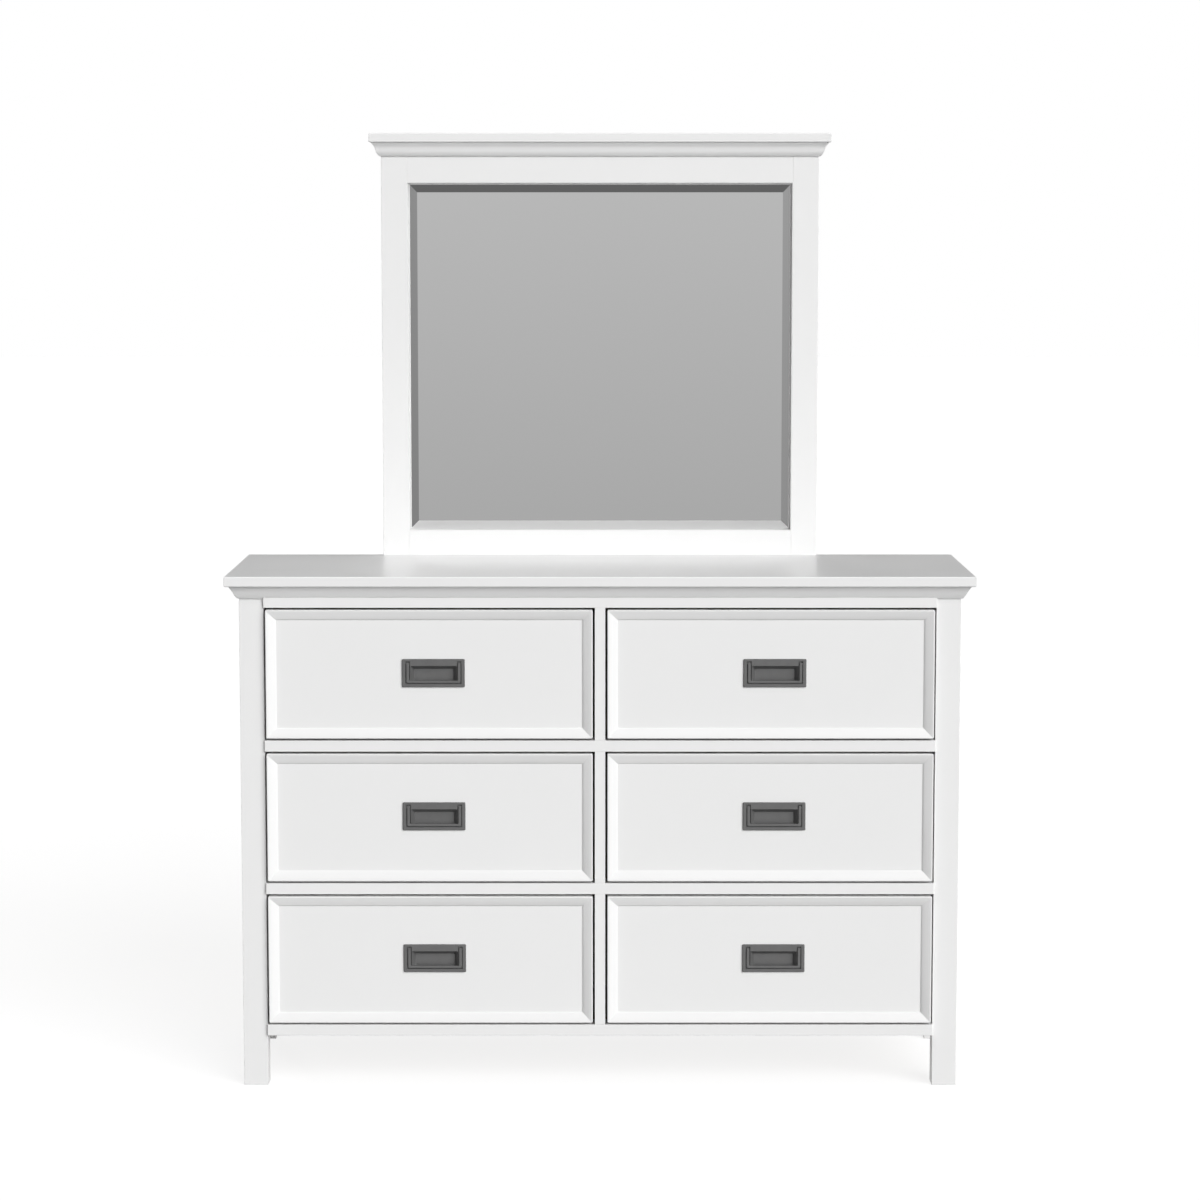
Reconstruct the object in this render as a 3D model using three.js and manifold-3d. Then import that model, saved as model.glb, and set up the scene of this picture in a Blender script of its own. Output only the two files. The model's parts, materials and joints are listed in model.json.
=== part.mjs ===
// A dresser with six drawers in two columns and a framed mirror that stands on the back of its top.
// Millimetres, +Z up. X runs along the dresser, the drawers open towards -Y, and the origin is on the
// floor, in the middle of the whole object's width and depth. Lengths along Y are written as distances
// behind the front edge of the top, and the whole model is moved to the origin at the end.
import * as THREE from "three";
import { mergeVertices } from "three/addons/utils/BufferGeometryUtils.js";
import Module from "manifold-3d";

// Top panel
const topWidth = 1424;
const topDepth = 456;
const topThickness = 19.5;
const topOverhang = 26;
const topBackOverhang = 16;
const topEdgeRound = 1.5;

// Case: posts, rails, stiles and panels
const footHeight = 98.5;
const frontPostWidth = 46.5;
const frontPostDepth = 40;
const rearPostWidth = 25;
const rearPostDepth = 40;
const railHeight = 21.5;
const railProud = 6;
const apronHeight = 19.5;
const stileWidth = 20;
const partitionThickness = 16;
const backPanelThickness = 6;
const sidePanelThickness = 12;
const sidePanelRecess = 5;
const sideBandDrop = 22;

// Crown moulding under the top: how far it stands out of the case, and how far its curve sways
const crownTopProjection = 17.6;
const crownFootProjection = 3.2;
const crownFasciaHeight = 1.5;
const crownCurveHeight = 22.7;
const crownSway = 0.5;
const crownLap = 2.2;
const mitreGap = 0.3;

// Drawer fronts
const drawerFrontHeight = 246.5;
const drawerFrontThickness = 22;
const drawerProud = 4;
const frontGap = 4;
const postGap = 3.5;
const frontCornerRadius = 2.5;
const frontEdgeRound = 1;
const lipWidth = 3;
const bevelWidth = 14;
const bevelDrop = 5.5;
const bevelFootWidth = 3;
const bevelFootDrop = 3.5;
const innerCornerRadius = 0.6;

// Drawer boxes
const boxSideGap = 6;
const boxTopGap = 16;
const boxLift = 5;
const boxWallThickness = 12;
const boxFloorThickness = 6;

// Centre guides that carry the drawers
const guideWidth = 30;
const guideHeight = 14;
const guideSeat = 20;
const guideRunGap = 0.3;
const guideSideGap = 0.5;
const guideStripWidth = 8;
const guideBracketWidth = 56;
const guideBracketHeight = 30;
const guideBracketThickness = 4;
const guideBracketDrop = 8;
const drawerStopGap = 1;

// Recessed pulls
const pullWidth = 119.5;
const pullHeight = 54;
const pullShift = 8;
const pullRise = 2;
const plateThickness = 3.5;
const plateCornerRadius = 2;
const plateEdgeRound = 1;
const cupWall = 1.5;
const mortiseGap = 0.3;
const sideRim = 8;
const footRim = 8;
const slotRim = 4;
const bailSlotGap = 2.8;
const bailLegWidth = 5.5;
const bailBarHeight = 4.5;
const bailThickness = 4.4;
const bailSideGap = 1.8;
const bailBackGap = 0.4;
const bailProud = 0.6;
const pinRadius = 1.1;
const pinLength = 3;
const pinGap = 0.3;
const pocketTopBand = 13;
const pocketDepth = 12;
const pocketSlope = 7;

// Mirror
const mirrorWidth = 874;
const mirrorFrameHeight = 826.5;
const mirrorFrameThickness = 18;
const mirrorStileWidth = 51.5;
const mirrorBottomRailHeight = 50;
const mirrorTopRailHeight = 79;
const mirrorCapThickness = 18;
const mirrorCapOverhang = 23;
const mirrorCapEdgeRound = 1.2;
const mirrorCrownTopProjection = 18;
const mirrorCrownFootProjection = 3.5;
const mirrorCrownFasciaHeight = 2;
const mirrorCrownCurveHeight = 25;
const mirrorCrownSway = 1.4;
const beadWidth = 2;
const beadEdge = 1.2;
const beadSlopeDepth = 11.7;
const beadDepth = 12.5;
const glassThickness = 3;
const glassEdgeGap = 0.5;
const glassBevelWidth = 19;
const glassBevelDrop = 1.95;
const supportWidth = 45;
const supportThickness = 18;
const supportDrop = 280;
const supportRise = 520;
const supportStepGap = 0.3;

// Steps in a round corner, in a moulding's curve and round a pin
const cornerSteps = 3;
const curveSteps = 10;
const pinSides = 12;
// Coordinates are rounded to this fine grid, so that two faces that touch have the very same numbers.
const gridPerUnit = 1024;
// Cuts run this far past the faces that they open.
const overrun = 10;

// The two columns and the three rows of drawers, counted from the floor up
const sides = [
  { name: "left", sign: -1 },
  { name: "right", sign: 1 },
];
const rows = [
  { name: "bottom", index: 0 },
  { name: "middle", index: 1 },
  { name: "top", index: 2 },
];

// Places worked out from the sizes, all in the frame described above
const overallDepth = topDepth + supportThickness;
const caseHalf = topWidth / 2 - topOverhang;
const postInner = caseHalf - frontPostWidth;
const postFront = topOverhang;
const postBack = postFront + frontPostDepth;
const railFront = postFront - railProud;
const drawerFace = railFront - drawerProud;
const caseBack = topDepth - topBackOverhang;
const rearPostFront = caseBack - rearPostDepth;
const panelBackFace = caseBack - backPanelThickness;
const openingHeight = drawerFrontHeight + 2 * frontGap;
const rowPitch = openingHeight + railHeight;
const rowFloor = (row) => footHeight + railHeight + row * rowPitch;
const apronBottom = rowFloor(rows.length - 1) + openingHeight;
const apronTop = apronBottom + apronHeight;
const crownHeight = crownFasciaHeight + crownCurveHeight;
const topUnderside = apronTop + crownHeight - crownLap;
const topSurface = topUnderside + topThickness;
const crownBottom = topUnderside - crownHeight;
const drawerFrontWidth = postInner - postGap - frontGap - stileWidth / 2;
const drawerCentre = stileWidth / 2 + frontGap + drawerFrontWidth / 2;
const mirrorHalf = mirrorWidth / 2;
const mirrorBack = topDepth;
const mirrorFront = mirrorBack - mirrorFrameThickness;
const mirrorOpeningHalf = mirrorHalf - mirrorStileWidth;
const mirrorOpeningFloor = topSurface + mirrorBottomRailHeight;
const capUnderside = topSurface + mirrorFrameHeight;
const mirrorOpeningTop = capUnderside - mirrorTopRailHeight;

// Materials
const finish = (color, roughness, metalness) =>
  new THREE.MeshStandardMaterial({ color, roughness, metalness });
const whiteLacquer = () => finish(0xf4f4f2, 0.35, 0);
const bareWood = () => finish(0xcdb48c, 0.7, 0);
const gunmetal = () => finish(0x626262, 0.45, 0.8);
const silveredGlass = () => finish(0xc8ccce, 0.03, 1);
const fibreboard = () => finish(0x8a7358, 0.85, 0);

const wasm = await Module();
wasm.setup();

const onGrid = (value) => Math.round(value * gridPerUnit) / gridPerUnit;

// A geometry on the grid, with only its positions and with shared corners merged
function closed(geometry) {
  const bare = geometry.clone();
  bare.deleteAttribute("normal");
  bare.deleteAttribute("uv");
  const places = bare.attributes.position;
  for (let i = 0; i < places.array.length; i++) {
    places.array[i] = onGrid(places.array[i]);
  }
  return mergeVertices(bare);
}

function solidOf(geometry) {
  const merged = closed(geometry);
  const vertProperties = merged.attributes.position.array;
  const triVerts = new Uint32Array(merged.index.array);
  return new wasm.Manifold(new wasm.Mesh({ numProp: 3, vertProperties, triVerts }));
}

function geometryOf(solid) {
  const { vertProperties, triVerts } = solid.getMesh();
  const geometry = new THREE.BufferGeometry();
  geometry.setAttribute("position", new THREE.BufferAttribute(vertProperties, 3));
  geometry.setIndex(new THREE.BufferAttribute(triVerts, 1));
  return geometry;
}

const join = (...geometries) => geometryOf(geometries.map(solidOf).reduce((sum, next) => sum.add(next)));
const cut = (geometry, ...tools) => {
  const whole = solidOf(geometry);
  return geometryOf(tools.map(solidOf).reduce((rest, next) => rest.subtract(next), whole));
};
const common = (geometry, other) => geometryOf(solidOf(geometry).intersect(solidOf(other)));

// A block between two corners
function block([x0, y0, z0], [x1, y1, z1]) {
  const geometry = new THREE.BoxGeometry(x1 - x0, y1 - y0, z1 - z0);
  return geometry.translate((x0 + x1) / 2, (y0 + y1) / 2, (z0 + z1) / 2);
}

// A closed body through rings of points, one ring after another, with flat ends
function loft(rings) {
  const count = rings[0].length;
  const geometry = new THREE.BufferGeometry().setFromPoints(rings.flat());
  const faces = [];
  for (let r = 0; r + 1 < rings.length; r++) {
    for (let i = 0; i < count; i++) {
      const a = r * count + i;
      const b = r * count + ((i + 1) % count);
      faces.push(a, b, b + count, a, b + count, a + count);
    }
  }
  const last = (rings.length - 1) * count;
  for (let i = 1; i + 1 < count; i++) {
    faces.push(0, i + 1, i, last, last + i, last + i + 1);
  }
  return geometry.setIndex(faces);
}

// A rectangle level with the floor, as a ring for a loft that rises
const levelRing = (x0, x1, y0, y1, z) => [
  new THREE.Vector3(x0, y0, z),
  new THREE.Vector3(x1, y0, z),
  new THREE.Vector3(x1, y1, z),
  new THREE.Vector3(x0, y1, z),
];

// An upright rectangle with round corners, as a ring for a loft that runs towards the front
function uprightRing(halfWidth, z0, z1, y, radius) {
  const corners = [
    [halfWidth - radius, z1 - radius],
    [radius - halfWidth, z1 - radius],
    [radius - halfWidth, z0 + radius],
    [halfWidth - radius, z0 + radius],
  ];
  return corners.flatMap(([cx, cz], corner) =>
    Array.from({ length: cornerSteps + 1 }, (_, step) => {
      const angle = ((corner + step / cornerSteps) * Math.PI) / 2;
      return new THREE.Vector3(cx + radius * Math.cos(angle), y, cz + radius * Math.sin(angle));
    }),
  );
}

// An upright rectangle with square corners, as a ring for a loft that runs towards the front
const squareRing = (halfWidth, z0, z1, y) => [
  new THREE.Vector3(halfWidth, y, z0),
  new THREE.Vector3(halfWidth, y, z1),
  new THREE.Vector3(-halfWidth, y, z1),
  new THREE.Vector3(-halfWidth, y, z0),
];

// A board with its long edges eased all round, lying level
function easedBoard([x0, y0, z0], [x1, y1, z1], round) {
  const ring = (inset, z) => levelRing(x0 + inset, x1 - inset, y0 + inset, y1 - inset, z);
  return loft([ring(round, z0), ring(0, z0 + round), ring(0, z1 - round), ring(round, z1)]);
}

// An outline of [across, up] points drawn out along X from x0 to x1, where across is Y
function drawnAlongX(points, x0, x1) {
  const shape = new THREE.Shape(points.map(([y, z]) => new THREE.Vector2(y, z)));
  const geometry = new THREE.ExtrudeGeometry(shape, { depth: x1 - x0, bevelEnabled: false });
  // The shape's own X, Y and depth become the model's Y, Z and X.
  const turn = new THREE.Matrix4().set(0, 0, 1, x0, 1, 0, 0, 0, 0, 1, 0, 0, 0, 0, 0, 1);
  return geometry.applyMatrix4(turn);
}

// An outline of [x, z] points drawn out along Y from y0 to y1
function drawnAlongY(points, y0, y1) {
  const shape = new THREE.Shape(points.map(([x, z]) => new THREE.Vector2(x, z)));
  const geometry = new THREE.ExtrudeGeometry(shape, { depth: y1 - y0, bevelEnabled: false });
  // The shape's own Y becomes Z, and its depth runs towards the front.
  return geometry.rotateX(Math.PI / 2).translate(0, y1, 0);
}

// An outline of [x, y] points drawn up from z0 to z1
function drawnUp(points, z0, z1) {
  const shape = new THREE.Shape(points.map(([x, y]) => new THREE.Vector2(x, y)));
  return new THREE.ExtrudeGeometry(shape, { depth: z1 - z0, bevelEnabled: false }).translate(0, 0, z0);
}

// The profile of a crown moulding as [projection, height] pairs, from its foot up to its top at height 0.
// Below a narrow fascia it is a shallow ogee, which sways out near the foot and in near the fascia.
function crownProfile(top, foot, fascia, curveHeight, sway) {
  const points = [];
  for (let i = 0; i <= curveSteps; i++) {
    const rise = i / curveSteps;
    const out = foot + (top - foot) * rise + sway * Math.sin(2 * Math.PI * rise);
    points.push([out, -fascia - curveHeight * (1 - rise)]);
  }
  points.push([top, 0]);
  return points;
}

// A moulding along the front and both sides of a core, made as one block of the outer shape less the core
function crownAround(profile, halfCore, coreFront, back, top) {
  const ring = ([out, down]) => levelRing(-halfCore - out, halfCore + out, coreFront - out, back, top + down);
  const foot = top + profile[0][1];
  const core = block([-halfCore, coreFront, foot - overrun], [halfCore, back + overrun, top + overrun]);
  return cut(loft(profile.map(ring)), core);
}

// The model, measured from the front edge of the top
const model = new THREE.Group();
model.position.y = onGrid(-overallDepth / 2);

function piece(parent, name, geometry, material) {
  const exact = closed(geometry).toNonIndexed();
  exact.computeVertexNormals();
  const mesh = new THREE.Mesh(exact, material);
  mesh.name = name;
  parent.add(mesh);
  return mesh;
}

// A block on one side of the middle, given by its inner and outer distance from it
function sideBlock(sign, inner, outer, [y0, y1], [z0, z1]) {
  const xs = [sign * inner, sign * outer].sort((a, b) => a - b);
  return block([xs[0], y0, z0], [xs[1], y1, z1]);
}

function addTop() {
  const low = [-topWidth / 2, 0, topUnderside];
  const high = [topWidth / 2, topDepth, topSurface];
  piece(model, "top_panel", easedBoard(low, high, topEdgeRound), whiteLacquer());
}

function addPostsAndPanels() {
  for (const { name, sign } of sides) {
    const front = sideBlock(sign, postInner, caseHalf, [postFront, postBack], [0, topUnderside]);
    piece(model, `front_post_${name}`, front, whiteLacquer());
    const rearInner = caseHalf - rearPostWidth;
    const rear = sideBlock(sign, rearInner, caseHalf, [rearPostFront, caseBack], [0, topUnderside]);
    piece(model, `rear_post_${name}`, rear, whiteLacquer());
    // The panel lies back from the posts, but for a band that backs the crown moulding.
    const panelOuter = caseHalf - sidePanelRecess;
    const panelInner = panelOuter - sidePanelThickness;
    const bandBottom = crownBottom - sideBandDrop;
    const section = [
      [sign * panelInner, footHeight],
      [sign * panelOuter, footHeight],
      [sign * panelOuter, bandBottom],
      [sign * caseHalf, bandBottom],
      [sign * caseHalf, topUnderside],
      [sign * panelInner, topUnderside],
    ];
    const panel = drawnAlongY(section, postBack, rearPostFront);
    piece(model, `side_panel_${name}`, panel, whiteLacquer());
  }
  const backHalf = caseHalf - rearPostWidth;
  const back = block([-backHalf, panelBackFace, footHeight], [backHalf, caseBack, topUnderside]);
  piece(model, "back_panel", back, bareWood());
  const partitionHalf = partitionThickness / 2;
  const low = [-partitionHalf, postBack, footHeight];
  const high = [partitionHalf, panelBackFace, topUnderside];
  piece(model, "centre_partition", block(low, high), bareWood());
}

function addRailsAndStiles() {
  const railNames = ["bottom_rail", "lower_rail", "upper_rail"];
  for (const { name, index } of rows) {
    const floor = rowFloor(index);
    const rail = block([-postInner, railFront, floor - railHeight], [postInner, postBack, floor]);
    piece(model, railNames[index], rail, whiteLacquer());
    const half = stileWidth / 2;
    const stile = block([-half, railFront, floor], [half, postBack, floor + openingHeight]);
    piece(model, `centre_stile_${name}`, stile, whiteLacquer());
  }
  // The apron stands proud below the crown moulding and runs up behind it to the top.
  const section = [
    [railFront, apronBottom],
    [postBack, apronBottom],
    [postBack, topUnderside],
    [postFront, topUnderside],
    [postFront, apronTop],
    [railFront, apronTop],
  ];
  piece(model, "apron_rail", drawnAlongX(section, -postInner, postInner), whiteLacquer());
}

function addCrown() {
  const profile = crownProfile(
    crownTopProjection,
    crownFootProjection,
    crownFasciaHeight,
    crownCurveHeight,
    crownSway,
  );
  const whole = crownAround(profile, caseHalf, postFront, caseBack, topUnderside);
  const apronCut = block(
    [-postInner - mitreGap, 0, crownBottom - overrun],
    [postInner + mitreGap, postFront + overrun, apronTop + mitreGap],
  );
  const reach = topOverhang;
  const span = [crownBottom - overrun, topUnderside + overrun];
  const frontHalf = caseHalf - mitreGap;
  const frontArea = [
    [-frontHalf, postFront],
    [-frontHalf - reach, postFront - reach],
    [frontHalf + reach, postFront - reach],
    [frontHalf, postFront],
  ];
  const front = cut(common(whole, drawnUp(frontArea, ...span)), apronCut);
  piece(model, "crown_front", front, whiteLacquer());
  for (const { name, sign } of sides) {
    const sideArea = [
      [sign * caseHalf, postFront],
      [sign * (caseHalf + reach), postFront - reach],
      [sign * (caseHalf + reach), caseBack + overrun],
      [sign * caseHalf, caseBack + overrun],
    ];
    piece(model, `crown_${name}`, common(whole, drawnUp(sideArea, ...span)), whiteLacquer());
  }
}

// The front board: a narrow lip, a wide bevel, a steeper foot and a flat panel, with a mortise for the pull.
// Its own frame has X and Z at the board's centre and Y at its face.
function drawerFrontGeometry(mortises) {
  const halfWidth = drawerFrontWidth / 2;
  const halfHeight = drawerFrontHeight / 2;
  const ring = (inset, y, radius) =>
    uprightRing(halfWidth - inset, inset - halfHeight, halfHeight - inset, y, radius);
  const bevelEnd = lipWidth + bevelWidth;
  const rings = [
    ring(0, drawerFrontThickness, frontCornerRadius),
    ring(0, frontEdgeRound, frontCornerRadius),
    ring(frontEdgeRound, 0, frontCornerRadius - frontEdgeRound),
    ring(lipWidth, 0, innerCornerRadius),
    ring(bevelEnd, bevelDrop, innerCornerRadius),
    ring(bevelEnd + bevelFootWidth, bevelDrop + bevelFootDrop, innerCornerRadius),
  ];
  return cut(loft(rings), ...mortises);
}

// An open box behind the front board, with a channel under its floor that runs on the guide.
// Its own frame has X at the drawer's centre, Y at the board's face and Z at the floor of the opening.
function drawerBoxGeometry() {
  const outer = drawerFrontWidth / 2 + frontGap - boxSideGap;
  const inner = outer - boxWallThickness;
  const front = drawerFrontThickness;
  const back = panelBackFace - guideBracketThickness - drawerStopGap - drawerFace;
  const top = openingHeight - boxTopGap;
  const floorUnder = guideHeight + guideRunGap;
  const floorTop = floorUnder + boxFloorThickness;
  const insideFront = front + boxWallThickness;
  const insideBack = back - boxWallThickness;
  const channel = guideWidth / 2 + guideSideGap;
  const strip = channel + guideStripWidth;
  const shell = cut(
    block([-outer, front, boxLift], [outer, back, top]),
    block([-inner, insideFront, floorTop], [inner, insideBack, top + overrun]),
    block([-inner, insideFront, boxLift - overrun], [inner, insideBack, floorUnder]),
  );
  const strips = block([-strip, front, boxLift], [strip, back, floorUnder]);
  const passage = block(
    [-channel, front - overrun, boxLift - overrun],
    [channel, back + overrun, floorUnder],
  );
  return cut(join(shell, strips), passage);
}

// Sizes that the pull's plate and bail share, from the middle of the plate
const legOuter = pullWidth / 2 - sideRim;
const legInner = legOuter - bailLegWidth;
const barBottom = footRim - pullHeight / 2;
const barTop = barBottom + bailBarHeight;
const slotTop = pullHeight / 2 - slotRim;
const pivotHeight = slotTop - bailSlotGap - bailThickness / 2;
const pivotDepth = bailThickness / 2 - bailProud;
const channelOuter = legOuter + bailSideGap;
const channelInner = legInner - bailSideGap;
const channelFloor = pivotDepth + bailThickness / 2 + bailBackGap;
const channelFoot = barBottom - bailSideGap;
const pocketTop = pullHeight / 2 - pocketTopBand;

// The plate's own frame has its middle in X and Z and its front face at Y = 0.
function pullPlateGeometry() {
  const halfHeight = pullHeight / 2;
  const rim = (inset, y) =>
    uprightRing(pullWidth / 2 - inset, inset - halfHeight, halfHeight - inset, y, plateCornerRadius);
  const plate = loft([rim(0, plateThickness), rim(0, plateEdgeRound), rim(plateEdgeRound, 0)]);
  const pan = block(
    [-channelOuter - cupWall, plateThickness - plateEdgeRound, channelFoot - cupWall],
    [channelOuter + cupWall, channelFloor + cupWall, slotTop + cupWall],
  );
  const cup = block(
    [-channelInner - cupWall, plateThickness - plateEdgeRound, channelFoot - cupWall],
    [channelInner + cupWall, pocketDepth + cupWall, pocketTop + cupWall],
  );
  const legChannels = sides.map(({ sign }) =>
    sideBlock(sign, channelInner, channelOuter, [-overrun, channelFloor], [channelFoot, slotTop]),
  );
  const barChannel = block([-channelOuter, -overrun, channelFoot], [channelOuter, channelFloor, barTop]);
  const slope = pocketSlope / pocketDepth;
  const pocketRing = (y) =>
    uprightRing(
      channelInner - slope * y,
      channelFoot + slope * y,
      pocketTop - slope * y,
      y,
      plateCornerRadius,
    );
  const pocket = loft([pocketRing(pocketDepth), pocketRing(-plateEdgeRound)]);
  const pinHoles = sides.map(({ sign }) => pivotRod(sign, pinRadius + pinGap, legOuter + pinLength + pinGap));
  return cut(join(plate, pan, cup), ...legChannels, barChannel, pocket, ...pinHoles);
}

// A round rod along X at the pivot, from just inside the bail's leg out to a distance from the middle
function pivotRod(sign, radius, end) {
  const start = legOuter - bailSideGap;
  const rod = new THREE.CylinderGeometry(radius, radius, end - start, pinSides);
  return rod.rotateZ(Math.PI / 2).translate((sign * (start + end)) / 2, pivotDepth, pivotHeight);
}

// The bail hangs in the plate's channels from two short pins.
function pullBailGeometry() {
  const halfThick = bailThickness / 2;
  const depths = [pivotDepth - halfThick, pivotDepth + halfThick];
  const parts = [block([-legOuter, depths[0], barBottom], [legOuter, depths[1], barTop])];
  for (const { sign } of sides) {
    parts.push(sideBlock(sign, legInner, legOuter, depths, [barBottom, pivotHeight]));
    const end = new THREE.CylinderGeometry(halfThick, halfThick, bailLegWidth, pinSides);
    const middle = legInner + bailLegWidth / 2;
    parts.push(end.rotateZ(Math.PI / 2).translate(sign * middle, pivotDepth, pivotHeight));
    parts.push(pivotRod(sign, pinRadius, legOuter + pinLength));
  }
  return join(...parts);
}

// The guide lies on the rail below the drawer and ends in a bracket on the back panel.
function guideGeometry() {
  const front = postBack - guideSeat - drawerFace;
  const back = panelBackFace - drawerFace;
  const bracketHalf = guideBracketWidth / 2;
  const bar = block([-guideWidth / 2, front, 0], [guideWidth / 2, back, guideHeight]);
  const bracket = block(
    [-bracketHalf, back - guideBracketThickness, -guideBracketDrop],
    [bracketHalf, back, guideBracketHeight - guideBracketDrop],
  );
  return join(bar, bracket);
}

function addDrawers() {
  const panelFace = bevelDrop + bevelFootDrop;
  const plateFace = panelFace - plateThickness;
  // The mortise follows the back of the plate, with a little room all round.
  const wide = channelOuter + cupWall + mortiseGap;
  const narrow = channelInner + cupWall + mortiseGap;
  const foot = channelFoot - cupWall - mortiseGap;
  const shallow = block(
    [-wide, -overrun, foot],
    [wide, plateFace + channelFloor + cupWall + mortiseGap, slotTop + cupWall + mortiseGap],
  );
  const deep = block(
    [-narrow, -overrun, foot],
    [narrow, plateFace + pocketDepth + cupWall + mortiseGap, pocketTop + cupWall + mortiseGap],
  );
  const mortises = [shallow, deep].map((shape) => shape.translate(pullShift, 0, pullRise));
  const frontShape = drawerFrontGeometry(mortises);
  const boxShape = drawerBoxGeometry();
  const plateShape = pullPlateGeometry();
  const bailShape = pullBailGeometry();
  const guideShape = guideGeometry();
  for (const { name: rowName, index } of rows) {
    for (const { name: sideName, sign } of sides) {
      const label = `${rowName}_${sideName}`;
      const bay = new THREE.Group();
      bay.position.set(onGrid(sign * drawerCentre), onGrid(drawerFace), onGrid(rowFloor(index)));
      model.add(bay);
      piece(bay, `drawer_guide_${label}`, guideShape, bareWood());
      piece(bay, `drawer_box_${label}`, boxShape, bareWood());
      const front = piece(bay, `drawer_front_${label}`, frontShape, whiteLacquer());
      front.position.z = onGrid(openingHeight / 2);
      const pull = new THREE.Group();
      pull.position.set(pullShift, onGrid(plateFace), onGrid(openingHeight / 2 + pullRise));
      bay.add(pull);
      piece(pull, `pull_plate_${label}`, plateShape, gunmetal());
      piece(pull, `pull_bail_${label}`, bailShape, gunmetal());
    }
  }
}

function addMirrorFrame() {
  for (const { name, sign } of sides) {
    const depth = [mirrorFront, mirrorBack];
    const stile = sideBlock(sign, mirrorOpeningHalf, mirrorHalf, depth, [topSurface, capUnderside]);
    piece(model, `mirror_stile_${name}`, stile, whiteLacquer());
  }
  const half = mirrorOpeningHalf;
  const bottom = block([-half, mirrorFront, topSurface], [half, mirrorBack, mirrorOpeningFloor]);
  piece(model, "mirror_bottom_rail", bottom, whiteLacquer());
  const top = block([-half, mirrorFront, mirrorOpeningTop], [half, mirrorBack, capUnderside]);
  piece(model, "mirror_top_rail", top, whiteLacquer());
  const capHalf = mirrorHalf + mirrorCapOverhang;
  const low = [-capHalf, mirrorFront - mirrorCapOverhang, capUnderside];
  const high = [capHalf, mirrorBack, capUnderside + mirrorCapThickness];
  piece(model, "mirror_cap", easedBoard(low, high, mirrorCapEdgeRound), whiteLacquer());
  const profile = crownProfile(
    mirrorCrownTopProjection,
    mirrorCrownFootProjection,
    mirrorCrownFasciaHeight,
    mirrorCrownCurveHeight,
    mirrorCrownSway,
  );
  const crown = crownAround(profile, mirrorHalf, mirrorFront, mirrorBack, capUnderside);
  piece(model, "mirror_crown", crown, whiteLacquer());
}

function addMirrorGlass() {
  const half = mirrorOpeningHalf;
  const floor = mirrorOpeningFloor;
  const ceiling = mirrorOpeningTop;
  // The bead lines the opening with a face almost square to the glass, a little wider at the front.
  const hole = (inset, y) => squareRing(half - inset, floor + inset, ceiling - inset, mirrorFront + y);
  const opening = loft([
    hole(beadWidth, beadDepth + overrun),
    hole(beadWidth, beadSlopeDepth),
    hole(beadEdge, 0),
    hole(beadEdge, -overrun),
  ]);
  const blank = block([-half, mirrorFront, floor], [half, mirrorFront + beadDepth, ceiling]);
  piece(model, "mirror_bead", cut(blank, opening), whiteLacquer());
  const glassRing = (inset, y) => hole(glassEdgeGap + inset, beadDepth + y);
  const glass = loft([
    glassRing(0, glassThickness),
    glassRing(0, glassBevelDrop),
    glassRing(glassBevelWidth, 0),
  ]);
  piece(model, "mirror_glass", glass, silveredGlass());
  const backingFront = mirrorFront + beadDepth + glassThickness;
  const backing = block([-half, backingFront, floor], [half, mirrorBack, ceiling]);
  piece(model, "mirror_backing", backing, fibreboard());
}

// Each support stands against the back of the case, steps round the top's back edge and holds the mirror.
function addMirrorSupports() {
  const back = topDepth + supportThickness;
  const step = topUnderside - supportStepGap;
  const outline = [
    [caseBack, topUnderside - supportDrop],
    [back, topUnderside - supportDrop],
    [back, topSurface + supportRise],
    [topDepth, topSurface + supportRise],
    [topDepth, step],
    [caseBack, step],
  ];
  const middle = mirrorHalf - mirrorStileWidth / 2;
  for (const { name, sign } of sides) {
    const start = sign * middle - supportWidth / 2;
    const support = drawnAlongX(outline, start, start + supportWidth);
    piece(model, `mirror_support_${name}`, support, bareWood());
  }
}

addTop();
addPostsAndPanels();
addRailsAndStiles();
addCrown();
addDrawers();
addMirrorFrame();
addMirrorGlass();
addMirrorSupports();

const dresser = new THREE.Group();
dresser.name = "dresser_with_mirror";
dresser.add(model);
export default dresser;
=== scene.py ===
"""The looks of a white dresser with six drawers and a framed mirror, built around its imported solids.

Everything is in metres, with +X to the right along the dresser, +Y to its back and +Z up.
"""

import json
import math

import bmesh
import bpy
from bpy.props import FloatProperty, FloatVectorProperty, IntProperty, PointerProperty
from mathutils import Matrix, Vector

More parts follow.
